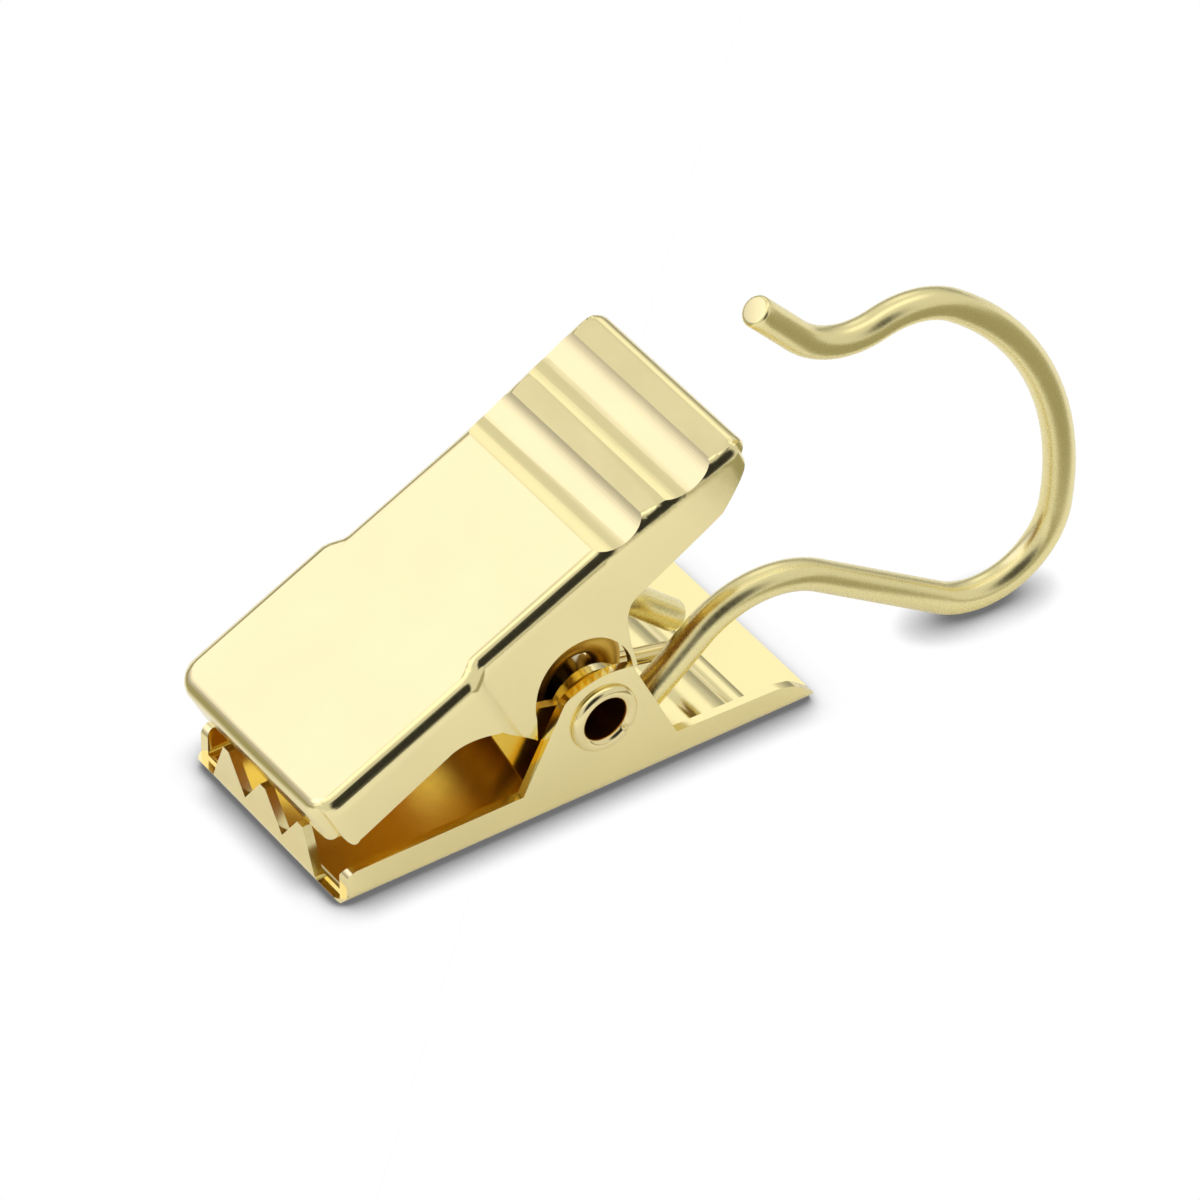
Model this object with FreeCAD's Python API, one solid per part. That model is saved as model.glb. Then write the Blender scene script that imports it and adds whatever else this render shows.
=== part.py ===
import FreeCAD, Part
import math
import os

from FreeCAD import Vector

os.makedirs("parts", exist_ok=True)

# Shared sheet and fit values, in millimetres and degrees.
sheet = 0.45
half_width = 6.0
ear_gap = 0.08
rivet_fit = 0.02
turn_fit = 0.06
eye_fit = 0.08
coil_play = 0.30
seat_gap = 0.02
bond = 0.05
skin_over = 0.02

# Pivot and rivet.
pivot_x = 0.25
pivot_z = 4.5
barrel_r = 1.42
bore_r = 1.06
head_roll = 0.32

# Lower jaw.
lower_front = -13.6
lower_rear = 11.6
lower_fold = 0.85
flange_front = 1.90
flange_rear = 1.80
ear_top = 6.85
ear_front = -1.82
ear_rear = 1.95
ear_foot_front = -3.95
ear_foot_rear = 4.15
tooth_pitch = 3.0
tooth_count = 3
tooth_top = 2.90
tooth_tip = 0.22
tooth_valley = 1.20
tooth_foot = 1.20
corner_relief = 0.50
relief_back = 0.50
floor_ridges = ((6.9, 1.0, 0.22), (8.43, 0.52, 0.13))
ridge_half = 4.9

# Upper jaw, in its own axes: x along the plate from the pivot, z square to the plate.
tilt = 28.6
plate_top = 7.03
upper_front = -13.15
upper_rear = 11.87
upper_fold = 0.85
lip_depth = 1.42
wall_depth = 1.77
crease_x = -3.83
crease_run = 1.0
thumb_x = 4.16
thumb_half = 5.85
ridge_pitch = 3.62
ridge_sink = 0.40
ridge_flat = 1.10
ridge_slope = 0.14
rim_back = 0.47
arch_r = 2.55
arch_x = 0.15
arch_z = 1.63
lug_r = 1.95

# Hook wire.
hook_d = 1.5
hook_side_gap = 0.12
hook_skew = 2.32
eye_pitch = 1.60
eye_turns = 533.0 / 360.0
eye_leave = -15.0
hook_bends = (
    (2.15, 1.80, 57.1),
    (4.20, 5.27, -74.5),
    (7.64, 4.08, 115.0),
    (0.0, 14.38, 61.7),
    (0.0, 4.47, 53.4),
    (0.0, 4.17, -64.5),
    (3.10, 0.0, 0.0),
)
tail_bends = (
    (2.10, 2.50, -33.8),
    (2.87, 0.0, 0.0),
)
lead_bend_r = 10.0

# Torsion spring.
spring_d = 0.8
coil_gap = 0.28
coil_end_gap = 0.12
coil_turn_gap = 0.10
coil_step = 60.0
floor_leg_x = 7.2
floor_leg_gap = 0.06
thumb_leg_x = 7.7
thumb_leg_gap = 0.12

# Values that follow from the ones above.
ear_in = half_width - sheet
neck_half = ear_in - ear_gap
lug_out = neck_half - sheet + bond
lug_in = lug_out - sheet
hook_r = hook_d / 2
spring_r = spring_d / 2
eye_r = barrel_r + eye_fit + hook_r
coil_r = barrel_r + coil_play + spring_r
hook_y = -(lug_in - hook_side_gap - hook_r)
spring_y = hook_y + eye_pitch * eye_turns + hook_r + coil_gap + spring_r
Y_AXIS = Vector(0, 1, 0)
PIVOT = Vector(pivot_x, 0, pivot_z)


def outline(items, plane):
    """Closed face: each item is a point, or a pair (point on the arc, end of the arc)."""
    place = {"xz": lambda p: Vector(p[0], 0, p[1]), "yz": lambda p: Vector(0, p[0], p[1])}[plane]
    start = place(items[0])
    here = start
    edges = []
    for item in list(items[1:]) + [items[0]]:
        if isinstance(item[0], tuple):
            end = place(item[1])
            edges.append(Part.Arc(here, place(item[0]), end).toShape())
        else:
            end = place(item)
            edges.append(Part.makeLine(here, end))
        here = end
    return Part.Face(Part.Wire(edges))


def across(items, low, high):
    """Prism of an outline in XZ, from y = low to y = high."""
    face = outline(items, "xz")
    face.translate(Vector(0, low, 0))
    return face.extrude(Vector(0, high - low, 0))


def along(items, low, high):
    """Prism of an outline in YZ, from x = low to x = high."""
    face = outline(items, "yz")
    face.translate(Vector(low, 0, 0))
    return face.extrude(Vector(high - low, 0, 0))


def section(x, half, skin, corner, side, reach):
    """Channel section at x: plate at z = skin, walls running off to one side, rounded folds."""
    k = corner * (1 - math.sqrt(0.5))
    wall = skin + side * reach
    bend = skin + side * corner
    points = [
        (-half, wall),
        (-half, bend),
        ((-half + k, skin + side * k), (-half + corner, skin)),
        (half - corner, skin),
        ((half - k, skin + side * k), (half, bend)),
        (half, wall),
    ]
    wire = outline(points, "yz").OuterWire
    wire.translate(Vector(x, 0, 0))
    return wire


def channel(stations, skin, corner, side, reach):
    """Solid block of a channel through stations (x, half width), folded edges rounded.
    Its plate lies a little outside skin, so that the side outline alone sets the plate."""
    wires = [section(x, half, skin - side * skin_over, corner, side, reach) for x, half in stations]
    return Part.makeLoft(wires, True, True)


def corner_waste(x, y, toward, radius):
    """Waste outside a rounded upright corner at (x, +-y); the body lies toward +x or -x."""
    waste = []
    for hand in (1, -1):
        low_x = min(x, x + toward * radius)
        low_y = min(hand * y, hand * (y - radius))
        centre = Vector(x + toward * radius, hand * (y - radius), -15)
        corner = Vector(low_x - (1 if toward > 0 else 0), low_y - (1 if hand < 0 else 0), -15)
        block = Part.makeBox(radius + 1, radius + 1, 30, corner)
        waste.append(block.cut(Part.makeCylinder(radius, 30, centre)))
    return waste[0].fuse(waste[1])


def rod(y0, y1, radius, x=0.0, z=0.0):
    return Part.makeCylinder(radius, y1 - y0, Vector(x, y0, z), Y_AXIS)


def both_sides(shape):
    return shape.fuse(shape.mirror(Vector(0, 0, 0), Y_AXIS))


def lower_jaw():
    reach = ear_top + 2
    stations = [(lower_front - 1, half_width), (lower_rear + 1, half_width)]
    inner_stations = [(x, half - sheet) for x, half in stations]

    def side(lift, front):
        """Floor line of the jaw from its front fold, lifted by the sheet for the inside."""
        fold = lower_fold - lift
        k = fold * (1 - math.sqrt(0.5))
        return [(front, lift + fold), ((front + k, lift + k), (front + fold, lift))]

    outer_side = side(0.0, lower_front) + [
        (lower_rear, 0.0),
        (lower_rear, sheet),
        ((lower_rear - 0.5, 0.95), (lower_rear - 1.25, flange_rear - 0.34)),
        (lower_rear - 2.1, flange_rear - 0.14),
        (ear_foot_rear, flange_rear),
        (ear_rear, ear_top - 0.50),
        ((ear_rear - 0.08, ear_top - 0.29), (ear_rear - 0.33, ear_top - 0.15)),
        ((ear_rear - 1.60, ear_top), (ear_front + 0.47, ear_top - 0.43)),
        ((ear_front + 0.20, ear_top - 0.55), (ear_front, ear_top - 0.77)),
        (ear_foot_front, flange_front),
        (lower_front + relief_back + 0.5, flange_front),
        ((lower_front + relief_back + 0.15, flange_front - 0.15), (lower_front + relief_back, flange_front - 0.5)),
        (lower_front + relief_back, tooth_top),
        (lower_front, tooth_top),
    ]
    inner_front = lower_front + sheet
    inner_side = side(sheet, inner_front) + [(lower_rear + 0.5, sheet)]
    inner_side += [(lower_rear + 0.5, reach), (inner_front, reach)]
    outer = channel(stations, 0.0, lower_fold, 1, reach).common(across(outer_side, -9, 9))
    outer = outer.cut(corner_waste(lower_front, half_width, 1, lower_fold))
    inner = channel(inner_stations, sheet, lower_fold - sheet, 1, reach + 1)
    inner = inner.common(across(inner_side, -9, 9))
    inner = inner.cut(corner_waste(inner_front, half_width - sheet, 1, lower_fold - sheet))
    jaw = outer.cut(inner)

    edge = half_width + 1
    last = tooth_pitch * (tooth_count - 1) / 2
    comb = [(-edge, 5.0), (-edge, corner_relief), (-last - tooth_foot, corner_relief)]
    for i in range(tooth_count):
        y = -last + i * tooth_pitch
        comb += [(y - tooth_tip, tooth_top), (y + tooth_tip, tooth_top)]
        if i < tooth_count - 1:
            comb.append((y + tooth_pitch / 2, tooth_valley))
    comb += [(last + tooth_foot, corner_relief), (edge, corner_relief), (edge, 5.0)]
    jaw = jaw.cut(along(comb, lower_front - 1, lower_front + relief_back))

    for x, half, height in floor_ridges:
        round_r = (half ** 2 + height ** 2) / (2 * height)
        drop = sheet + height - round_r
        ridge = rod(-ridge_half, ridge_half, round_r, x, drop)
        above = Part.makeBox(2 * half, 2 * ridge_half, 2, Vector(x - half, -ridge_half, sheet / 2))
        jaw = jaw.fuse(ridge.common(above))
        jaw = jaw.cut(rod(-ridge_half, ridge_half, round_r, x, drop - sheet))
    return jaw.cut(rod(-9, 9, barrel_r + rivet_fit, pivot_x, pivot_z)).removeSplitter()


def upper_jaw():
    reach = plate_top + 5
    step = half_width - neck_half
    ease = [t / 4 for t in range(5)]
    stations = [(upper_front - 1, half_width)]
    stations += [(crease_x + crease_run * t, half_width - step * t * t * (3 - 2 * t)) for t in ease]
    stations += [(thumb_x, neck_half), (upper_rear - 1.2, thumb_half), (upper_rear + 1, thumb_half)]
    inner_stations = [(x, half - sheet) for x, half in stations]

    def top(drop, front, rear):
        """Plate line from front to rear: folded lip, flat plate, two hollows, each with a sloped ridge behind."""
        fold = upper_fold - drop
        k = fold * (1 - math.sqrt(0.5))
        high = plate_top - drop
        items = [(front, high - fold), ((front + k, high - k), (front + fold, high)), (thumb_x, high)]
        for x in (thumb_x + ridge_pitch, rear - rim_back):
            middle = x - ridge_pitch + (ridge_pitch - ridge_flat) * 0.5
            items.append(((middle, high - ridge_sink), (x - ridge_flat, high - 0.02)))
            items.append((x, high - ridge_slope))
        items.append(((rear - 0.10, high - 0.42), (rear, high - 0.80)))
        return items

    spring_left = math.radians(166)
    spring_right = math.radians(-28)
    left = (arch_x + arch_r * math.cos(spring_left), arch_z + arch_r * math.sin(spring_left))
    right = (arch_x + arch_r * math.cos(spring_right), arch_z + arch_r * math.sin(spring_right))
    wall = plate_top - wall_depth
    lip = plate_top - lip_depth
    outer_side = [(upper_front, lip)] + top(0.0, upper_front, upper_rear) + [
        ((upper_rear - 0.75, plate_top - 1.45), (upper_rear - 2.45, plate_top - 2.58)),
        (upper_rear - 3.55, plate_top - 2.75),
        (thumb_x + 0.86, plate_top - 3.18),
        ((thumb_x - 0.14, plate_top - 3.45), (thumb_x - 0.69, plate_top - 4.10)),
        (arch_x + arch_r + 0.37, arch_z + 0.30),
        (arch_x + arch_r + 0.04, arch_z - 1.10),
        right,
        ((arch_x, arch_z + arch_r), left),
        (arch_x - arch_r - 0.35, arch_z - 0.50),
        (crease_x + 0.10, wall - 1.38),
        ((crease_x - 0.95, wall - 0.48), (crease_x - 2.35, wall)),
        (upper_front + 1.17, wall),
        ((upper_front + 0.67, wall + 0.09), (upper_front + 0.42, lip)),
    ]
    inner_front = upper_front + sheet
    inner_rear = upper_rear - sheet
    inner_side = [(inner_front, -4.0)] + top(sheet, inner_front, inner_rear) + [(inner_rear, -4.0)]
    outer = channel(stations, plate_top, upper_fold, -1, reach).common(across(outer_side, -9, 9))
    outer = outer.cut(corner_waste(upper_front, half_width, 1, upper_fold))
    outer = outer.cut(corner_waste(upper_rear, thumb_half, -1, upper_fold))
    inner = channel(inner_stations, plate_top - sheet, upper_fold - sheet, -1, reach + 1)
    inner = inner.common(across(inner_side, -9, 9))
    inner = inner.cut(corner_waste(inner_front, half_width - sheet, 1, upper_fold - sheet))
    inner = inner.cut(corner_waste(inner_rear, thumb_half - sheet, -1, upper_fold - sheet))
    jaw = outer.cut(inner)

    lug = [
        (crease_x - 0.25, wall - 0.63),
        (crease_x - 0.25, 0.23),
        (-lug_r * 0.5, -lug_r * math.sqrt(0.75)),
        ((lug_r, 0.0), (-lug_r * 0.6, lug_r * 0.8)),
        (crease_x + 1.20, wall - 2.43),
        (crease_x + 1.20, wall - 0.63),
    ]
    lugs = both_sides(across(lug, lug_in, lug_out))
    jaw = jaw.fuse(lugs).cut(rod(-9, 9, barrel_r + turn_fit)).removeSplitter()
    jaw.rotate(Vector(0, 0, 0), Y_AXIS, -tilt)
    jaw.translate(PIVOT)
    return jaw


def pivot_rivet():
    seat = half_width + seat_gap
    ring_r = bore_r + head_roll
    shape = rod(-seat, seat, barrel_r, pivot_x, pivot_z)
    for hand in (1, -1):
        arc = Part.Arc(
            Vector(ring_r - head_roll, hand * seat, 0),
            Vector(ring_r, hand * (seat + head_roll), 0),
            Vector(ring_r + head_roll, hand * seat, 0),
        ).toShape()
        back = Part.makeLine(arc.Vertexes[-1].Point, arc.Vertexes[0].Point)
        head = Part.Face(Part.Wire([arc, back])).revolve(Vector(0, 0, 0), Y_AXIS, 360)
        head.translate(PIVOT)
        shape = shape.fuse(head)
    return shape.cut(rod(-9, 9, bore_r, pivot_x, pivot_z)).removeSplitter()


class Bender:
    """Follows a wire: straight runs and tangent bends, from a point along a direction."""

    def __init__(self, point, way):
        self.point = Vector(point)
        self.way = Vector(way).normalize()
        self.edges = []

    def straight(self, length):
        end = self.point + self.way * length
        self.edges.append(Part.makeLine(self.point, end))
        self.point = end

    def bend(self, radius, axis, angle):
        """Turn about an axis square to the run; a positive angle follows the right hand."""
        hand = 1 if angle > 0 else -1
        axis = Vector(axis).normalize()
        centre = self.point + axis.cross(self.way) * (hand * radius)
        spoke = self.point - centre
        half = FreeCAD.Rotation(axis, angle / 2).multVec(spoke)
        full = FreeCAD.Rotation(axis, angle).multVec(spoke)
        self.edges.append(Part.Arc(self.point, centre + half, centre + full).toShape())
        self.point = centre + full
        self.way = FreeCAD.Rotation(axis, angle).multVec(self.way).normalize()

    def turn_to(self, way, radius):
        """Bend from the present direction into another one."""
        way = Vector(way).normalize()
        axis = self.way.cross(way)
        self.bend(radius, axis, math.degrees(self.way.getAngle(way)))

    def follow(self, bends, axis):
        for length, radius, angle in bends:
            if length > 0:
                self.straight(length)
            if radius > 0:
                self.bend(radius, axis, angle)


def corner_arc(start, corner, end):
    """Arc from start to end that touches the two equal legs which meet at the corner."""
    inward = (start + end) * 0.5 - corner
    leg = (start - corner).Length
    radius = leg * ((end - start).Length / 2) / inward.Length
    top = corner + inward.normalize() * (math.hypot(leg, radius) - radius)
    return Part.Arc(start, top, end).toShape()


def coil(radius, pitch, turns, y0, start_angle):
    """Winding about the pivot from y0 towards +y, bottom to front to top, as pairs of tangent arcs.
    Returns its edges, then the point and outward direction at its first and at its last end."""
    count = math.ceil(turns * 360 / coil_step)
    stops = []
    for i in range(count + 1):
        t = 2 * math.pi * turns * i / count
        angle = math.radians(start_angle) - t
        y = y0 + pitch * t / (2 * math.pi)
        point = PIVOT + Vector(radius * math.cos(angle), y, radius * math.sin(angle))
        way = Vector(radius * math.sin(angle), pitch / (2 * math.pi), -radius * math.cos(angle))
        stops.append((point, way.normalize()))
    edges = []
    for (p0, w0), (p1, w1) in zip(stops, stops[1:]):
        gap = p1 - p0
        both = gap.dot(w0 + w1)
        bow = 2 * (1 - w0.dot(w1))
        leg = (math.sqrt(both ** 2 + bow * gap.dot(gap)) - both) / bow
        corner0 = p0 + w0 * leg
        corner1 = p1 - w1 * leg
        middle = (corner0 + corner1) * 0.5
        edges.append(corner_arc(p0, corner0, middle))
        edges.append(corner_arc(middle, corner1, p1))
    return edges, stops[0][0], stops[0][1] * -1, stops[-1][0], stops[-1][1]


def sweep(edges, radius):
    path = Part.Wire(Part.__sortEdges__(edges))
    first = path.OrderedEdges[0]
    start = path.OrderedVertexes[0].Point
    at_start = (first.valueAt(first.FirstParameter) - start).Length < 1e-4
    way = first.tangentAt(first.FirstParameter if at_start else first.LastParameter)
    ring = Part.Wire(Part.Circle(start, way, radius).toShape())
    return path.makePipeShell([ring], True, False)


def hook_wire():
    winding = coil(eye_r, eye_pitch, eye_turns, hook_y, eye_leave - 90)
    eye, leg_point, leg_way, tail_point, tail_way = winding
    skew = FreeCAD.Rotation(Vector(0, 0, 1), -hook_skew)
    heading = math.radians(eye_leave)
    plane_way = skew.multVec(Vector(math.cos(heading), 0, math.sin(heading)))
    plane_axis = skew.multVec(Vector(0, -1, 0))
    leg = Bender(leg_point, leg_way)
    leg.turn_to(plane_way, lead_bend_r)
    used = leg.edges[0].Length
    first = hook_bends[0]
    leg.follow(((first[0] - used, first[1], first[2]),) + hook_bends[1:], plane_axis)
    tail = Bender(tail_point, tail_way)
    tail.turn_to(Vector(tail_way.x, 0, tail_way.z), lead_bend_r)
    tail.follow(tail_bends, Vector(0, -1, 0))
    return sweep(eye + leg.edges + tail.edges, hook_r)


def torsion_spring():
    floor_z = sheet + floor_ridges[0][2] + floor_leg_gap + spring_r - pivot_z
    far = math.hypot(floor_leg_x, floor_z)
    floor_touch = math.degrees(math.atan2(floor_z, floor_leg_x) - math.acos(coil_r / far))
    thumb_z = plate_top - sheet - thumb_leg_gap - spring_r
    reach = math.hypot(thumb_leg_x, thumb_z)
    thumb_touch = math.degrees(math.atan2(thumb_z, thumb_leg_x) + math.acos(coil_r / reach)) + tilt
    part_turn = (floor_touch + 360 - thumb_touch) / 360
    room = lug_in - coil_end_gap - spring_r - spring_y
    turns = math.floor(room / (spring_d + coil_turn_gap) - part_turn) + part_turn
    winding = coil(coil_r, room / turns, turns, spring_y, floor_touch)
    wound, floor_point, floor_way, thumb_point, thumb_way = winding
    floor_leg = Bender(floor_point, floor_way)
    floor_leg.straight(math.sqrt(far ** 2 - coil_r ** 2))
    thumb_leg = Bender(thumb_point, thumb_way)
    thumb_leg.turn_to(Vector(thumb_way.x, 0, thumb_way.z), lead_bend_r)
    used = thumb_leg.edges[0].Length
    thumb_leg.straight(math.sqrt(reach ** 2 - coil_r ** 2) - used)
    return sweep(wound + floor_leg.edges + thumb_leg.edges, spring_r)


lower_jaw().exportStep("parts/lower_jaw.step")
upper_jaw().exportStep("parts/upper_jaw.step")
pivot_rivet().exportStep("parts/pivot_rivet.step")
torsion_spring().exportStep("parts/torsion_spring.step")
hook_wire().exportStep("parts/hook_wire.step")
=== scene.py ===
# %% [markdown]
# # A sprung curtain clip with a wire hook
# The clip is two pressed jaws of thin polished sheet on a hollow rivet. A coiled spring keeps them shut, and a
# bent wire hook turns on the same rivet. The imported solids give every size. This lesson gives the jaws a pressed
# finish, draws the wires and the rivet as smooth swept surfaces, and lights them as a small bright product shot.

# %% Frame and first measure
import math
import bmesh
import bpy
import mathutils
import numpy as np
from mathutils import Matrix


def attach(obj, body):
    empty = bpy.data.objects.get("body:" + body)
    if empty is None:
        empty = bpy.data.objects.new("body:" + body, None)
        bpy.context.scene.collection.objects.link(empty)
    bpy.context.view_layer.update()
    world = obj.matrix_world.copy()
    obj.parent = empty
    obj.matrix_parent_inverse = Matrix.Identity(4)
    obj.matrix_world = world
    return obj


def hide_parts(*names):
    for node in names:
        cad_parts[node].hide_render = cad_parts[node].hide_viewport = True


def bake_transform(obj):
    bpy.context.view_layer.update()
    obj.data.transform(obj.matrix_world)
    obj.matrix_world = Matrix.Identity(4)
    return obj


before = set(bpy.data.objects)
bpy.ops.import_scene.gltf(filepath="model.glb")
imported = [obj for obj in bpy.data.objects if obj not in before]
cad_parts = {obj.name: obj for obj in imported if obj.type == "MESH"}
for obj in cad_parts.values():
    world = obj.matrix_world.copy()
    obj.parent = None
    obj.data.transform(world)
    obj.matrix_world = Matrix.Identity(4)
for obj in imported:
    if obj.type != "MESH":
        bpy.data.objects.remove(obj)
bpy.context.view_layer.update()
MM = 0.001

# %% [markdown]
# ## Helpers
# A colour is written as the screen shows it and turned to linear light once, in one place. A material is a short
# list of nodes, so one small function adds a node, sets its values and joins its inputs.

# %% Helpers for colour, nodes and meshes
def linear(code):
    """sRGB hex to linear RGBA: (c + 0.055) / 1.055 to the power 2.4, or c / 12.92 in the darkest part."""
    values = np.array([int(code[i:i + 2], 16) / 255 for i in (1, 3, 5)])
    light = np.where(values <= 0.04045, values / 12.92, ((values + 0.055) / 1.055) ** 2.4)
    return (*light.tolist(), 1.0)


def add(tree, kind, settings=None, inputs=None):
    """A node with its settings; an input is a plain value, or a socket of another node to link from."""
    made = tree.nodes.new(kind)
    for name, value in (settings or {}).items():
        setattr(made, name, value)
    for key, value in (inputs or {}).items():
        if isinstance(value, bpy.types.NodeSocket):
            tree.links.new(value, made.inputs[key])
        else:
            made.inputs[key].default_value = value
    return made


def empty_tree(owner):
    """Node tree of a material or world, with its default nodes taken out."""
    owner.use_nodes = True
    owner.node_tree.nodes.clear()
    return owner.node_tree


def place_piece(name, mesh, finish):
    """Object at the origin with its mesh, its finish and smooth shading."""
    mesh.polygons.foreach_set("use_smooth", np.ones(len(mesh.polygons), dtype=bool))
    mesh.materials.clear()
    mesh.materials.append(finish)
    made = bpy.data.objects.new(name, mesh)
    bpy.context.scene.collection.objects.link(made)
    print(name, len(mesh.polygons), "faces")
    return made


def surface(name, grid, finish, closed=False):
    """Mesh of a grid of points (rings, spokes, 3) in millimetres: quads between neighbours, each ring closed on
    itself; the first and last ring are joined to each other, or gathered to their middle points."""
    rings, spokes, _ = grid.shape
    i, j = np.meshgrid(np.arange(rings if closed else rings - 1), np.arange(spokes), indexing="ij")
    a, b = (i * spokes + j).ravel(), (i * spokes + (j + 1) % spokes).ravel()
    c, d = ((i + 1) % rings * spokes + (j + 1) % spokes).ravel(), ((i + 1) % rings * spokes + j).ravel()
    faces = np.stack([a, b, c, d], axis=1).tolist()
    points = grid.reshape(-1, 3)
    if not closed:
        k, base = np.arange(spokes), (rings - 1) * spokes
        points = np.concatenate([points, grid[:1].mean(axis=1), grid[-1:].mean(axis=1)])
        faces += np.stack([(k + 1) % spokes, k, 0 * k + rings * spokes], axis=1).tolist()
        faces += np.stack([base + k, base + (k + 1) % spokes, 0 * k + rings * spokes + 1], axis=1).tolist()
    mesh = bpy.data.meshes.new(name)
    mesh.from_pydata((points * MM).tolist(), [], faces)
    mesh.update()
    return place_piece(name, mesh, finish)


# %% [markdown]
# ## Bright plated sheet, satin wire and hard spring wire
# The sheet is plated in pale brass and tumbled bright: it mirrors the room, softly bent by the pressing. Tumbling
# does not reach the throat between the jaws, so the brass is a little duller there, and its colour there is painted a
# deeper amber as shade, for the light that bounces between the walls. The hook wire is drawn and then plated, so fine
# drawing lines make it satin. The spring is hard bright wire, a little darker. Each finish starts from two shades of
# brass and a mask that says where the deeper one, painted shade, goes.

# %% Where the brass is painted deeper as shade
PIVOT = np.array([0.25, 0.0, 4.5])


def painted_throat_shade(tree, place):
    """Painted shade in the throat: one on the faces marked as inside, fading out toward the tail, where x goes from 1
    to 5 mm.
    """
    split = add(tree, "ShaderNodeSeparateXYZ", None, {0: place})
    front = add(tree, "ShaderNodeMapRange", {"interpolation_type": "SMOOTHSTEP"},
                {"Value": split.outputs["X"], "From Min": 1 * MM, "From Max": 5 * MM, "To Min": 1.0, "To Max": 0.0})
    inside = add(tree, "ShaderNodeAttribute", {"attribute_name": "inside"})
    return add(tree, "ShaderNodeMath", {"operation": "MULTIPLY"},
               {0: front.outputs["Result"], 1: inside.outputs["Fac"]}).outputs[0]


def painted_shade_near_axis(low, high):
    """Painted shade round the rivet: one near its axis, fading out where the distance goes from low to high, in mm.
    """
    def mask(tree, place):
        offset = add(tree, "ShaderNodeVectorMath", {"operation": "SUBTRACT"}, {0: place, 1: (PIVOT * MM).tolist()})
        flat = add(tree, "ShaderNodeVectorMath", {"operation": "MULTIPLY"}, {0: offset.outputs[0], 1: (1, 0, 1)})
        far = add(tree, "ShaderNodeVectorMath", {"operation": "LENGTH"}, {0: flat.outputs[0]})
        return add(tree, "ShaderNodeMapRange", {"interpolation_type": "SMOOTHSTEP"},
                   {"Value": far.outputs["Value"], "From Min": low * MM, "From Max": high * MM, "To Min": 1.0,
                    "To Max": 0.0}).outputs["Result"]
    return mask


# %% Plated metal
DULLER_IN_THE_DEEP = 0.08


def plated(name, pale, painted_shade, mask, rough, wave_mm, wave, grain_mm, grain):
    """Plated metal: the mask leads from the pale brass to a deeper colour painted as shade, which is also duller; a
    slow noise shifts it, a finer one varies the roughness, and both noises lift the surface a little. Lengths are in
    mm."""
    made = bpy.data.materials.new(name)
    tree = empty_tree(made)
    place = add(tree, "ShaderNodeTexCoord")
    slow = add(tree, "ShaderNodeTexNoise", None,
               {"Vector": place.outputs["Object"], "Scale": 1 / (wave_mm * MM), "Detail": 1.5})
    fine = add(tree, "ShaderNodeTexNoise", None,
               {"Vector": place.outputs["Object"], "Scale": 1 / (grain_mm * MM), "Detail": 2.0})
    depth = mask(tree, place.outputs["Object"])
    # The mask mixes the painted shade into the pale brass.
    shade = add(tree, "ShaderNodeMix", {"data_type": "RGBA"}, {"Factor": depth, 6: linear(pale), 7: linear(painted_shade)})
    drift = add(tree, "ShaderNodeMapRange", None, {"Value": slow.outputs["Fac"], "To Min": 0.94, "To Max": 1.03})
    tone = add(tree, "ShaderNodeHueSaturation", None, {"Value": drift.outputs["Result"], "Color": shade.outputs[2]})
    gloss = add(tree, "ShaderNodeMapRange", None,
                {"Value": fine.outputs["Fac"], "To Min": rough * 0.8, "To Max": rough * 1.25})
    dull = add(tree, "ShaderNodeMath", {"operation": "MULTIPLY_ADD"},
               {0: depth, 1: DULLER_IN_THE_DEEP, 2: gloss.outputs["Result"]})
    pressed = add(tree, "ShaderNodeBump", None,
                  {"Height": slow.outputs["Fac"], "Distance": wave * MM, "Strength": 1.0})
    grained = add(tree, "ShaderNodeBump", None,
                  {"Height": fine.outputs["Fac"], "Distance": grain * MM, "Strength": 1.0,
                   "Normal": pressed.outputs["Normal"]})
    metal = add(tree, "ShaderNodeBsdfPrincipled", None,
                {"Base Color": tone.outputs["Color"], "Metallic": 1.0, "Roughness": dull.outputs[0],
                 "Normal": grained.outputs["Normal"]})
    add(tree, "ShaderNodeOutputMaterial", None, {"Surface": metal.outputs["BSDF"]})
    return made


# %% The four finishes
# Brass plating on pressed sheet, tumbled bright: a near mirror, with the slow waves that the press leaves; its throat
# is painted deeper as shade.
sheet_brass = plated("bright brass plated sheet", pale="#F9EBAF", painted_shade="#F2CA50", mask=painted_throat_shade, rough=0.15,
                     wave_mm=4.0, wave=0.04, grain_mm=0.45, grain=0.0022)
# Drawn wire, plated after bending: its drawing lines spread every reflection into a soft sheen. Its eye round the
# rivet, inside the jaws, is painted deeper as shade.
hook_brass = plated("satin brass plated wire", pale="#F8EBAC", painted_shade="#E0B850", mask=painted_shade_near_axis(2.9, 3.6), rough=0.27,
                    wave_mm=3.0, wave=0.01, grain_mm=0.25, grain=0.0015)
# Hard drawn spring wire: bright, and a little darker than the plating; its coil round the rivet is painted deeper as
# shade.
spring_brass = plated("hard bright spring wire", pale="#EEDB9C", painted_shade="#DCB048", mask=painted_shade_near_axis(2.9, 3.6),
                      rough=0.16, wave_mm=2.0, wave=0.01, grain_mm=0.2, grain=0.001)
# Rolled tube: bright on its rims; the bore, which no polishing reaches, is a little duller, and its colour there is
# painted deeper as shade.
rivet_brass = plated("rolled brass tube rivet", pale="#F6E6AC", painted_shade="#D8A840", mask=painted_shade_near_axis(1.07, 1.12),
                     rough=0.13, wave_mm=1.5, wave=0.01, grain_mm=0.2, grain=0.001)
print("finishes:", ", ".join(m.name for m in (sheet_brass, hook_brass, spring_brass, rivet_brass)))

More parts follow.
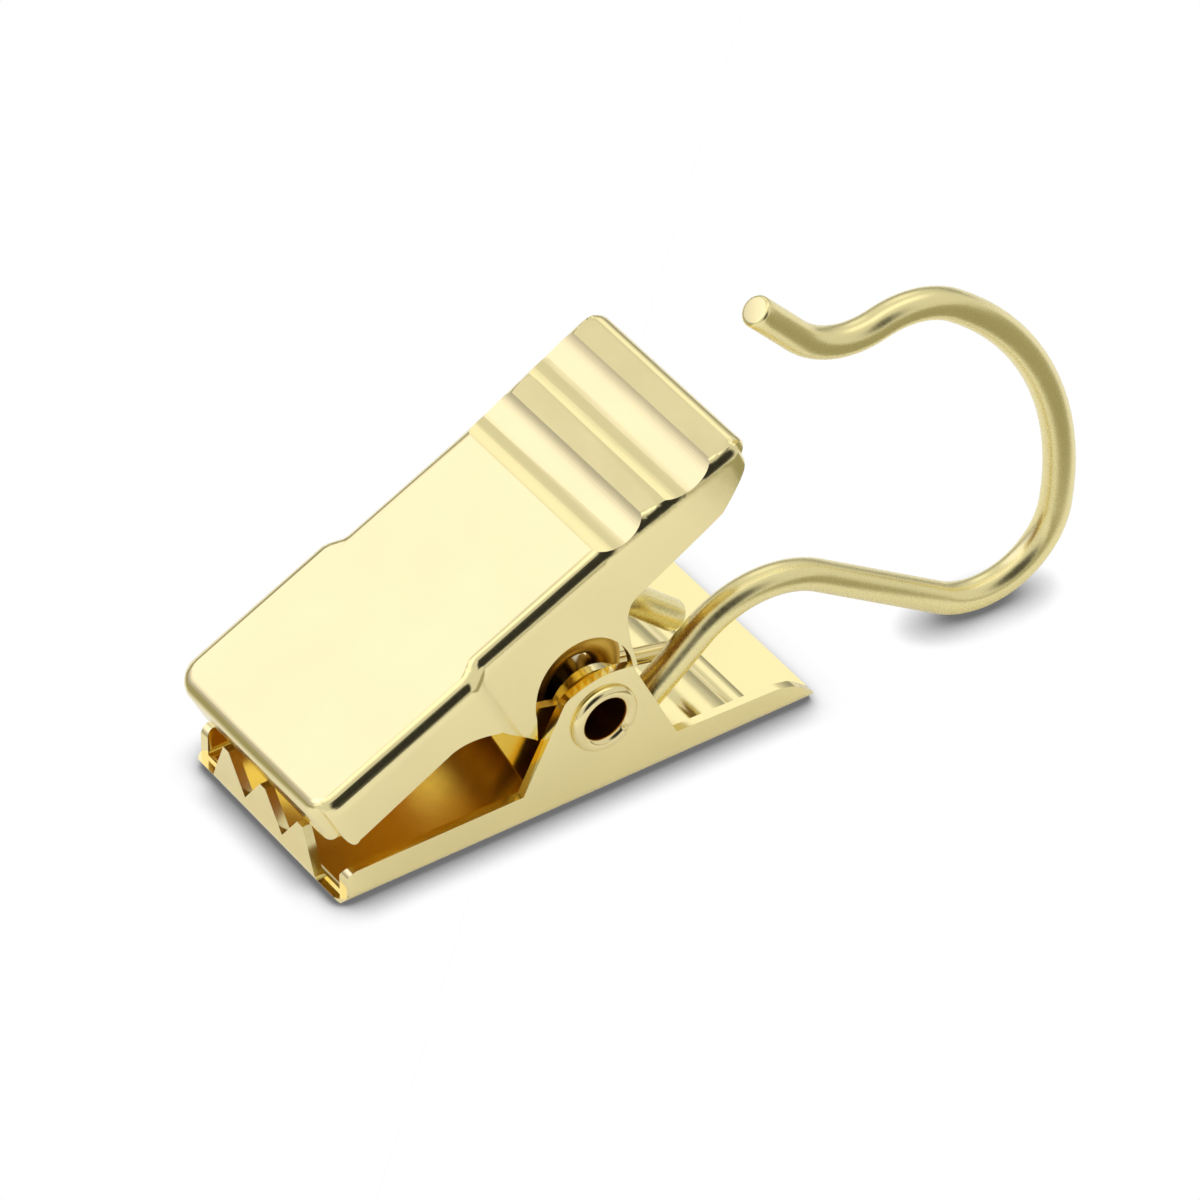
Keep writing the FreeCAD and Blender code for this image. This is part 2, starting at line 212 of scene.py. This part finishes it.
# %% [markdown]
# ## The pressed jaws
# A copy of each solid is welded, its creases are kept sharp by angle, and a small bevel breaks the sheet's cut
# edges, because a real edge always has a tiny round that catches the light. The lower jaw keeps its solid exactly.
# The upper jaw's plate sits a little higher and flatter in the photograph than in its solid, and its walls are
# deeper, so its copy is drawn up to that form, and its four corners are rounded as deep drawing leaves them. The
# bore on the rivet and the reach to the front stay as they are.

# %% Sizes of the upper jaw, in its own tilted axes
SHEET, HALF_WIDTH, THUMB_HALF, FOLD = 0.45, 6.0, 5.85, 0.9
SOLID_TILT, SOLID_TOP, SOLID_FRONT, SOLID_REAR = math.radians(28.6), 7.03, -13.15, 11.87
TILT, PLATE_TOP, FRONT, REAR = math.radians(25.9), 7.60, -12.86, 12.0
CORNER, SOLID_CORNER, REAR_CORNER = 1.3, 1.387, 0.8
CORNER_STEPS = np.tan(np.radians([0, 9, 18, 27, 36]))
LUG_TOP, LUG_LOW, NECK, NECK_BLEND = 2.2, -9.0, -2.75, 1.15
# Front, crease, both sides of the lugs, thumb and rear, in the solid and as drawn.
SOLID_STATIONS = [SOLID_FRONT, -3.83, -1.95, 1.95, 4.16, SOLID_REAR]
DRAWN_STATIONS = [FRONT, -4.13, -1.95, 1.95, 3.92, REAR]
# How much deeper than the solid the walls and the lip are drawn below the fold, from the front to the neck.
WALL_STATIONS = [SOLID_FRONT, -11.98, -6.18, -3.73, NECK]
WALL_SHARES = [2.98, 2.29, 2.01, 1.33, 1.14]
# Heights of the lugs and of the fold, in the solid and as drawn.
SOLID_HEIGHTS = [LUG_LOW, LUG_TOP, SOLID_TOP - FOLD, SOLID_TOP]
DRAWN_HEIGHTS = [LUG_LOW, LUG_TOP, PLATE_TOP - FOLD, PLATE_TOP]
print("upper jaw drawn from tilt", round(math.degrees(SOLID_TILT), 1), "to", round(math.degrees(TILT), 1), "degrees")


# %% Form of the upper jaw
def tilted(points, tilt):
    """Places along and up in axes that lean by the tilt about the rivet: x cos + z sin, and z cos - x sin."""
    x, z = points[:, 0] - PIVOT[0], points[:, 2] - PIVOT[2]
    return x * math.cos(tilt) + z * math.sin(tilt), z * math.cos(tilt) - x * math.sin(tilt)


def rounded(along, across, end, half, radius):
    """Corner rounded in plan: a point of the corner's square goes along its ray from the inner corner until its
    distance is what its larger side was, so the square's rim becomes a quarter circle."""
    side = math.copysign(1.0, end)
    u = np.clip((side * along - abs(end) + radius) / radius, 0, 1)
    v = np.clip((np.abs(across) - half + radius) / radius, 0, 1)
    far = np.hypot(u, v)
    pull = radius * (np.maximum(u, v) / np.where(far > 0, far, 1) - 1)
    return along + side * pull * u, across + np.sign(across) * pull * v


def corner_cuts():
    """Planes, as place and direction, that give the corners enough points to be round."""
    forward, sideways = np.array([math.cos(SOLID_TILT), 0.0, math.sin(SOLID_TILT)]), np.array([0.0, 1.0, 0.0])
    inward = 1 - CORNER_STEPS
    stops = np.concatenate([SOLID_FRONT + SOLID_CORNER * inward, SOLID_REAR - REAR_CORNER * inward[::2]])
    across = HALF_WIDTH - CORNER * inward
    planes = [(PIVOT + forward * stop, forward) for stop in stops]
    return planes + [(sideways * y, sideways) for y in np.concatenate([across, -across])]


def drawn_up(points):
    """Upper jaw in its own tilted axes, drawn to the flatter tilt: heights above the lugs grow evenly up to the fold
    and the fold moves with the plate; in front of the neck, depths below the fold grow by a share that rises to the
    lip; lengths stretch a little between neck, thumb and rear; then the corners are rounded."""
    along, up = tilted(points, SOLID_TILT)
    depth = SOLID_TOP - up
    share = np.interp(along, WALL_STATIONS, WALL_SHARES)
    front = PLATE_TOP - np.where(depth < FOLD, depth, FOLD + (depth - FOLD) * share)
    neck = np.interp(up, SOLID_HEIGHTS, DRAWN_HEIGHTS)
    up = neck + (front - neck) * np.clip((NECK - along) / NECK_BLEND, 0.0, 1.0)
    along = np.interp(along, SOLID_STATIONS, DRAWN_STATIONS)
    along, across = rounded(along, points[:, 1], FRONT, HALF_WIDTH, CORNER)
    along, across = rounded(along, across, REAR, THUMB_HALF, REAR_CORNER)
    x, z = along * math.cos(TILT) - up * math.sin(TILT), along * math.sin(TILT) + up * math.cos(TILT)
    return np.stack([x + PIVOT[0], across, z + PIVOT[2]], axis=1)


# %% Which faces are inside
# The tests run through the middle of the sheet: walls at the jaws and at the neck, depth of the skin, front lips.
# The inside mark is where the sheet's colour is painted a deeper amber as shade.
WALL, NECK_WALL, NECK_START, SKIN, LOWER_LIP, UPPER_LIP = 5.75, 5.25, -3.6, 0.3, -12.4, -11.3
FACES_UP = 0.3


def inside_lower(points, normals):
    """Inner skin of the floor channel: between its walls, above its underside and behind its front lip."""
    return (np.abs(points[:, 1]) < WALL) & (points[:, 2] > SKIN) & (points[:, 0] > LOWER_LIP)


def inside_upper(points, normals):
    """Inner skin of the tilted channel: between its walls, below the plate, behind its front lip, not facing up."""
    along, up = tilted(points, TILT)
    facing = normals[:, 2] * math.cos(TILT) - normals[:, 0] * math.sin(TILT)
    wall = np.where(along < NECK_START, WALL, NECK_WALL)
    return (up < PLATE_TOP - SKIN) & (np.abs(points[:, 1]) < wall) & (along > UPPER_LIP) & (facing < FACES_UP)


def mark_inside(mesh, inside):
    """Face attribute that is one where the test on middles (mm) and normals says inside."""
    middles, normals = np.empty(len(mesh.polygons) * 3), np.empty(len(mesh.polygons) * 3)
    mesh.polygons.foreach_get("center", middles)
    mesh.polygons.foreach_get("normal", normals)
    marks = mesh.attributes.new("inside", "FLOAT", "FACE")
    marked = inside(middles.reshape(-1, 3) / MM, normals.reshape(-1, 3))
    marks.data.foreach_set("value", marked.astype(np.float32))


# %% Jaws from their solids
WELD, EDGE_BREAK, SMOOTH_BELOW, BREAK_ABOVE = 0.002 * MM, 0.07 * MM, math.radians(30), math.radians(38)


def welded(node, form=None):
    """Welded copy of a solid, drawn to a form if one is given; faces that meet at a small angle share a smooth normal
    and the rest stay creased."""
    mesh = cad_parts[node].data.copy()
    mesh.name = node + "_pressed"
    work = bmesh.new()
    work.from_mesh(mesh)
    bmesh.ops.remove_doubles(work, verts=work.verts, dist=WELD)
    if form:
        for place, way in corner_cuts():
            bmesh.ops.bisect_plane(work, geom=[*work.verts, *work.edges, *work.faces], dist=1e-7,
                                   plane_co=(place * MM).tolist(), plane_no=way.tolist())
        for vert, place in zip(work.verts, form(np.array([v.co for v in work.verts]) / MM)):
            vert.co = place * MM
        work.normal_update()
    for edge in work.edges:
        edge.smooth = edge.calc_face_angle(0.0) < SMOOTH_BELOW
    work.to_mesh(mesh)
    work.free()
    return mesh


def pressed_jaw(node, body, inside, form=None):
    """Jaw with its inside marked and its cut edges broken, riding on its body in place of its solid."""
    mesh = welded(node, form)
    mark_inside(mesh, inside)
    made = place_piece(mesh.name, mesh, sheet_brass)
    edge = made.modifiers.new("broken edges", "BEVEL")
    edge.width = EDGE_BREAK
    edge.segments = 2
    edge.limit_method = "ANGLE"
    edge.angle_limit = BREAK_ABOVE
    flat = made.modifiers.new("flat faces stay flat", "WEIGHTED_NORMAL")
    flat.keep_sharp = True
    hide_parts(node)
    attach(made, body)


pressed_jaw("lower_jaw", "base", inside_lower)
pressed_jaw("upper_jaw", "upper", inside_upper, drawn_up)

# %% [markdown]
# ## Bent wires
# A wire is a path with a round section carried along it. The path is straight runs and tangent bends, as a wire
# former makes it, with one helix round the rivet. No run goes along the rivet, so the rivet's direction can serve
# as the reference that keeps the section from twisting.

# %% Paths and tubes
ALONG = np.array([0.0, 1.0, 0.0])


def turned(v, axis, angle):
    """Rodrigues' formula: v cos + (axis x v) sin + axis (axis . v)(1 - cos), for an array of angles."""
    angle = np.atleast_1d(angle)[:, None]
    return v * np.cos(angle) + np.cross(axis, v) * np.sin(angle) + axis * (axis @ v) * (1 - np.cos(angle))


def heading(degrees, rise=0.0):
    """Direction in the plane across the rivet, with a small rise along it."""
    return np.array([math.cos(math.radians(degrees)), rise, math.sin(math.radians(degrees))])


def run(start, way, bends, axis):
    """Points of a wire from start along way: each bend is (straight length, radius, degrees about axis)."""
    parts, here, way = [start[None]], start, way / np.linalg.norm(way)
    for length, radius, degrees in bends:
        if length > 0:
            parts.append(here + way * np.linspace(0, length, max(2, int(length / 0.3)))[1:, None])
            here = parts[-1][-1]
        if radius > 0:
            centre = here + np.cross(axis, way) * math.copysign(radius, degrees)
            angles = np.radians(np.linspace(0, degrees, max(3, int(abs(degrees) / 3))))[1:]
            parts.append(centre + turned(here - centre, axis, angles))
            way = turned(way, axis, np.radians(degrees))[0]
            here = parts[-1][-1]
    return np.concatenate(parts)


def ease_into(start, way, target, radius):
    """Arc from a point that turns one direction into another, and the length it uses."""
    way, target = way / np.linalg.norm(way), target / np.linalg.norm(target)
    axis = np.cross(way, target)
    size = np.linalg.norm(axis)
    degrees = math.degrees(math.asin(size))
    return run(start, way, [(0, radius, degrees)], axis / size), math.radians(degrees) * radius


def helix(radius, pitch, turns, y0, start):
    """Winding round the rivet: radius (cos t, sin t) across it, from the start angle down and to the front, while
    y rises by one pitch in each turn."""
    t = np.linspace(0, turns * 2 * np.pi, int(turns * 72))
    angle = np.radians(start) - t
    return PIVOT + np.stack([radius * np.cos(angle), y0 + pitch * t / (2 * np.pi), radius * np.sin(angle)], axis=1)


def tube(name, path, radius, ease, finish):
    """Round section carried along a path: centre + radius (n cos + b sin), with both ends eased by a small round."""
    ahead = np.gradient(path, axis=0)
    ahead /= np.linalg.norm(ahead, axis=1, keepdims=True)
    q = np.linspace(0, np.pi / 2, 6)
    inset, shrink = ease * (1 - np.sin(q)), ease * (1 - np.cos(q))
    head = path[0] + ahead[0] * inset[::-1, None]
    tail = path[-1] - ahead[-1] * inset[:, None]
    centres = np.concatenate([head, path[2:-2], tail])
    ways = np.concatenate([np.repeat(ahead[:1], 6, 0), ahead[2:-2], np.repeat(ahead[-1:], 6, 0)])
    radii = np.concatenate([radius - shrink[::-1], np.full(len(path) - 4, radius), radius - shrink])
    n = ALONG - ways * (ways @ ALONG)[:, None]
    n /= np.linalg.norm(n, axis=1, keepdims=True)
    b = np.cross(ways, n)
    a = np.linspace(0, 2 * np.pi, 40, endpoint=False)
    ring = n[:, None] * np.cos(a)[None, :, None] + b[:, None] * np.sin(a)[None, :, None]
    return surface(name, centres[:, None] + ring * radii[:, None, None], finish)


# %% Hook wire
HOOK_R, HOOK_ROUND, HOOK_Y, HOOK_SKEW, LEAVE, EASE_R = 0.75, 0.22, -3.75, math.radians(2.32), -15.0, 10.0
EYE_R, EYE_PITCH, EYE_TURNS = 2.25, 1.60, 533 / 360
FIRST_RUN, FIRST_BEND = 2.15, (1.80, 57.1)
HOOK_BENDS = [(4.20, 5.27, -74.5), (7.64, 4.08, 115.0), (0, 14.38, 61.7), (0, 4.47, 53.4), (0, 4.17, -64.5),
              (3.10, 0, 0)]
TAIL_BENDS = [(2.10, 2.50, -33.8), (2.87, 0, 0)]
DOWN = np.array([0.0, 0.0, -1.0])
eye = helix(EYE_R, EYE_PITCH, EYE_TURNS, HOOK_Y, LEAVE - 90)
lead = EYE_PITCH / (2 * np.pi * EYE_R)
leg_way, leg_axis = turned(heading(LEAVE), DOWN, HOOK_SKEW)[0], turned(-ALONG, DOWN, HOOK_SKEW)[0]
start, used = ease_into(eye[0], heading(LEAVE, -lead), leg_way, EASE_R)
leg = run(start[-1], leg_way, [(FIRST_RUN - used, *FIRST_BEND), *HOOK_BENDS], leg_axis)
stub_way = LEAVE - 180 - EYE_TURNS * 360
stub, _ = ease_into(eye[-1], heading(stub_way, lead), heading(stub_way), EASE_R)
tail = run(stub[-1], heading(stub_way), TAIL_BENDS, -ALONG)
hook_path = np.concatenate([leg[::-1], start[::-1][1:], eye[1:], stub[1:], tail[1:]])
hook = tube("hook_wire_bent", hook_path, HOOK_R, HOOK_ROUND, hook_brass)
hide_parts("hook_wire")
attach(hook, "hook")

# %% [markdown]
# ## Torsion spring
# The spring's near leg lies on the floor of the lower jaw, and the far leg pushes up under the thumb plate. When the
# jaws open, the coil winds up a little in every turn.

# %% Spring
SPRING_R, SPRING_ROUND, SPRING_Y, FLOOR_X, THUMB_X = 0.4, 0.1, 0.0489, 7.2, 7.7
COIL_R, COIL_ROOM, COIL_STEP = 2.12, 4.0511, 0.9
FLOOR_RIDGE, FLOOR_GAP, THUMB_GAP = 0.22, 0.06, 0.12
floor_z = SHEET + FLOOR_RIDGE + FLOOR_GAP + SPRING_R - PIVOT[2]
thumb_z = PLATE_TOP - SHEET - THUMB_GAP - SPRING_R
far, reach = math.hypot(FLOOR_X, floor_z), math.hypot(THUMB_X, thumb_z)
floor_touch = math.degrees(math.atan2(floor_z, FLOOR_X) - math.acos(COIL_R / far))
thumb_touch = math.degrees(math.atan2(thumb_z, THUMB_X) + math.acos(COIL_R / reach) + TILT)
part_turn = (floor_touch + 360 - thumb_touch) / 360
turns = math.floor(COIL_ROOM / COIL_STEP - part_turn) + part_turn
lead = COIL_ROOM / turns / (2 * np.pi * COIL_R)
winding = helix(COIL_R, COIL_ROOM / turns, turns, SPRING_Y, floor_touch)
low = run(winding[0], heading(floor_touch + 90, -lead), [(math.sqrt(far ** 2 - COIL_R ** 2), 0, 0)], ALONG)
high, used = ease_into(winding[-1], heading(thumb_touch - 90, lead), heading(thumb_touch - 90), EASE_R)
push = run(high[-1], heading(thumb_touch - 90), [(math.sqrt(reach ** 2 - COIL_R ** 2) - used, 0, 0)], ALONG)
spring_path = np.concatenate([low[::-1], winding[1:], high[1:], push[1:]])
spring = tube("torsion_spring_wound", spring_path, SPRING_R, SPRING_ROUND, spring_brass)
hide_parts("torsion_spring")
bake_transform(spring)

# %% [markdown]
# ## Hollow rivet
# The rivet is a tube whose two ends are rolled outwards over the ears. Rolling splits the rim a little, so the near
# head has one small notch.

# %% Rivet
NOTCH_WIDTH, NOTCH_SINK = 0.07, 0.8


def rolled_rivet(bore, roll, barrel, seat, notch_at):
    """Turned section: bore, half round rim, barrel, other rim, back to the bore; at the notch the rim sinks by a
    narrow bell curve of the angle."""
    h = np.linspace(0, np.pi, 15)
    rim_r, rim_y = bore + roll - roll * np.cos(h), seat + roll * np.sin(h)
    r = np.concatenate([rim_r, [barrel, barrel, barrel], rim_r[::-1], [bore, bore]])
    y = np.concatenate([rim_y, [seat, 0, -seat], -rim_y[::-1], [-seat * 0.5, seat * 0.5]])
    a = np.linspace(0, 2 * np.pi, 128, endpoint=False)
    bell = np.exp(-(np.angle(np.exp(1j * (a - math.radians(notch_at)))) / NOTCH_WIDTH) ** 2)
    near = (y < -seat - 1e-6) & (r > bore + 0.3 * roll)
    yy = y[:, None] + near[:, None] * bell[None] * NOTCH_SINK * (-seat - y)[:, None]
    rr = r[:, None] * np.ones_like(a)[None]
    return PIVOT + np.stack([rr * np.cos(a), yy, rr * np.sin(a)], axis=2)


rivet_grid = rolled_rivet(bore=1.06, roll=0.32, barrel=1.42, seat=6.02, notch_at=-40.0)
rivet = surface("rolled_rivet", rivet_grid[:, ::-1], rivet_brass, closed=True)
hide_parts("pivot_rivet")
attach(rivet, "base")

# %% [markdown]
# ## Floor, light and camera
# The clip lies on a white table. Bright metal shows its surroundings, so the world is a pale room: brightest high
# on the left, greyer low at the back, and dark in front, where the camera stands. That dark side draws the
# dark lines along the rounded folds. To the camera the table is plain white, with the narrow contact shadow of a
# bright tent: it is as dark as the share of the sky that the clip hides within a short distance. Only the metal sees
# two dull cards on the table: one in front of the hook for the line along its wire, one beyond the front lip.

# %% Table
TABLE_HALF, CONTACT = 3.0, 1.7 * MM
scene = bpy.context.scene
scene.view_settings.view_transform = "Standard"
floor_mesh = bpy.data.meshes.new("white_table")
rim = [(TABLE_HALF * x, TABLE_HALF * y, 0) for x, y in ((-1, -1), (1, -1), (1, 1), (-1, 1))]
floor_mesh.from_pydata(rim, [], [(0, 1, 2, 3)])
floor = bpy.data.objects.new("white_table", floor_mesh)
scene.collection.objects.link(floor)
table = bpy.data.materials.new("white table paper")
floor_mesh.materials.append(table)
print("table", 2 * TABLE_HALF, "m wide")

# %% What the camera sees of the table
tree = empty_tree(table)
light = add(tree, "ShaderNodeLightPath")
near = add(tree, "ShaderNodeAmbientOcclusion", {"samples": 16}, {"Distance": CONTACT})
white = add(tree, "ShaderNodeMapRange", None,
            {"Value": near.outputs["AO"], "From Min": 0.4, "From Max": 0.97, "To Min": 0.16, "To Max": 1.0})
glow = add(tree, "ShaderNodeEmission", None, {"Color": (1, 1, 1, 1), "Strength": white.outputs["Result"]})

# %% What the metal sees of the table
# Each card begins where X and Y, in mm, pass from the first value to the second.
HOOK_CARD, LIP_CARD = (("X", 13, 18), ("Y", -9, -13)), (("X", -15, -22), ("Y", 0, 7))
spot = add(tree, "ShaderNodeSeparateXYZ", None, {0: add(tree, "ShaderNodeTexCoord").outputs["Object"]})
sides = [add(tree, "ShaderNodeMapRange", {"interpolation_type": "SMOOTHSTEP"},
             {"Value": spot.outputs[axis], "From Min": first * MM, "From Max": last * MM}).outputs["Result"]
         for axis, first, last in HOOK_CARD + LIP_CARD]
cards = [add(tree, "ShaderNodeMath", {"operation": "MULTIPLY"}, {0: sides[i], 1: sides[i + 1]}) for i in (0, 2)]
card = add(tree, "ShaderNodeMath", {"operation": "MAXIMUM"}, {0: cards[0].outputs[0], 1: cards[1].outputs[0]})
tint = add(tree, "ShaderNodeMix", {"data_type": "RGBA"},
           {"Factor": card.outputs[0], 6: linear("#F6F6F6"), 7: linear("#8C875C")})
paper = add(tree, "ShaderNodeBsdfPrincipled", None,
            {"Base Color": tint.outputs[2], "Roughness": 0.9, "Specular IOR Level": 0.2,
             "Emission Color": (1, 1, 1, 1), "Emission Strength": 0.14})
shown = add(tree, "ShaderNodeMixShader", None,
            {0: light.outputs["Is Camera Ray"], 1: paper.outputs["BSDF"], 2: glow.outputs["Emission"]})
add(tree, "ShaderNodeOutputMaterial", None, {"Surface": shown.outputs["Shader"]})
print("table paper", len(tree.nodes), "nodes")

# %% World
world = bpy.data.worlds.new("pale room")
scene.world = world
tree = empty_tree(world)
way = add(tree, "ShaderNodeTexCoord").outputs["Generated"]
axes = add(tree, "ShaderNodeSeparateXYZ", None, {0: way}).outputs


def band(axis, low, high, at_low, at_high):
    """Value that goes smoothly from at_low to at_high as one part of a direction goes from low to high."""
    return add(tree, "ShaderNodeMapRange", {"interpolation_type": "SMOOTHSTEP"},
               {"Value": axes[axis], "From Min": low, "From Max": high, "To Min": at_low,
                "To Max": at_high}).outputs["Result"]


def lobe(toward, inner, outer, at_outer, at_inner):
    """Value that goes smoothly from at_outer to at_inner as a direction comes within so many degrees of toward."""
    unit = np.array(toward) / np.linalg.norm(toward)
    dot = add(tree, "ShaderNodeVectorMath", {"operation": "DOT_PRODUCT"}, {0: way, 1: unit.tolist()})
    return add(tree, "ShaderNodeMapRange", {"interpolation_type": "SMOOTHSTEP"},
               {"Value": dot.outputs["Value"], "From Min": math.cos(math.radians(outer)),
                "From Max": math.cos(math.radians(inner)), "To Min": at_outer, "To Max": at_inner}).outputs["Result"]


def sums(operation, first, second):
    """Result of one operation on two values."""
    return add(tree, "ShaderNodeMath", {"operation": operation}, {0: first, 1: second}).outputs[0]


# %% Light of the room
ROOM_LEVEL, SOFTBOX_ADDS, STRIP_ADDS, WINDOW_ADDS, DARK_LEAVES, LOW_BACK_LEAVES = 0.74, 0.44, 0.55, 0.36, 0.04, 0.42
WHITE, COOL = (1, 1, 1, 1), (1, 0.99, 1.18, 1)
# A wide and slightly cool softbox, high on the left and a little behind, over the level of the room.
bright = lobe((-0.60, 0.63, 0.49), 27, 37, 0.0, 1.0)
softbox = add(tree, "ShaderNodeMath", {"operation": "MULTIPLY_ADD"}, {0: bright, 1: SOFTBOX_ADDS, 2: ROOM_LEVEL})
cool = add(tree, "ShaderNodeMix", {"data_type": "RGBA"}, {"Factor": bright, 6: WHITE, 7: COOL})
# A strip overhead, which runs along the clip.
strip = sums("MULTIPLY", band("Y", -0.32, -0.14, 0.0, STRIP_ADDS), band("Z", 0.62, 0.86, 0.0, 1.0))
strip = sums("MULTIPLY", strip, band("Y", 0.06, 0.24, 1.0, 0.0))
# The dark side in front, a greyer wall low at the back, and a small window high behind, opposite the camera.
dark = lobe((-0.20, -0.85, 0.48), 19, 34, 1.0, DARK_LEAVES)
low_back = sums("MAXIMUM", band("Z", 0.12, 0.54, LOW_BACK_LEAVES, 1.0), band("Y", 0.1, 0.5, 1.0, 0.0))
window = lobe((0.42, 0.63, 0.65), 7, 17, 0.0, WINDOW_ADDS)
room = sums("ADD", softbox.outputs[0], sums("ADD", strip, window))
room = sums("MULTIPLY", sums("MULTIPLY", room, dark), low_back)
light = add(tree, "ShaderNodeLightPath")
seen = add(tree, "ShaderNodeMix", {"data_type": "FLOAT"},
           {"Factor": light.outputs["Is Camera Ray"], 2: room, 3: 1.0})
back = add(tree, "ShaderNodeBackground", None, {"Color": cool.outputs[2], "Strength": seen.outputs[0]})
add(tree, "ShaderNodeOutputWorld", None, {"Surface": back.outputs["Background"]})
print("pale room", len(tree.nodes), "nodes")


# %% Lamp
def aimed(name, data, place, target):
    """Lamp or camera at a place in millimetres, its -Z axis toward the target."""
    made = bpy.data.objects.new(name, data)
    made.location = (np.array(place) * MM).tolist()
    made.rotation_mode = "QUATERNION"
    toward = mathutils.Vector((np.array(target) - np.array(place)).tolist())
    made.rotation_quaternion = toward.to_track_quat("-Z", "Y")
    scene.collection.objects.link(made)
    print(name, "at", np.round(place, 1).tolist(), "mm")
    return made


soft = bpy.data.lights.new("soft key", "AREA")
soft.size = 220 * MM
soft.energy = 0.05
aimed("soft key", soft, (-300, 60, 200), (3, 0, 5))

# %% Camera at the photograph's angle
AZIMUTH, ELEVATION, DISTANCE, SHIFT_RIGHT, SHIFT_UP = math.radians(-33.4), math.radians(40.6), 400.0, 3.454, 5.452
lens = bpy.data.cameras.new("camera")
lens.lens, lens.sensor_width = 270.5, 36.0
lens.clip_start, lens.clip_end = 0.01, 10.0
back_way = np.array([math.sin(AZIMUTH) * math.cos(ELEVATION), -math.cos(AZIMUTH) * math.cos(ELEVATION),
                     math.sin(ELEVATION)])
right = np.array([math.cos(AZIMUTH), math.sin(AZIMUTH), 0.0])
target = right * SHIFT_RIGHT + np.cross(back_way, right) * SHIFT_UP
scene.camera = aimed("camera", lens, back_way * DISTANCE, target)
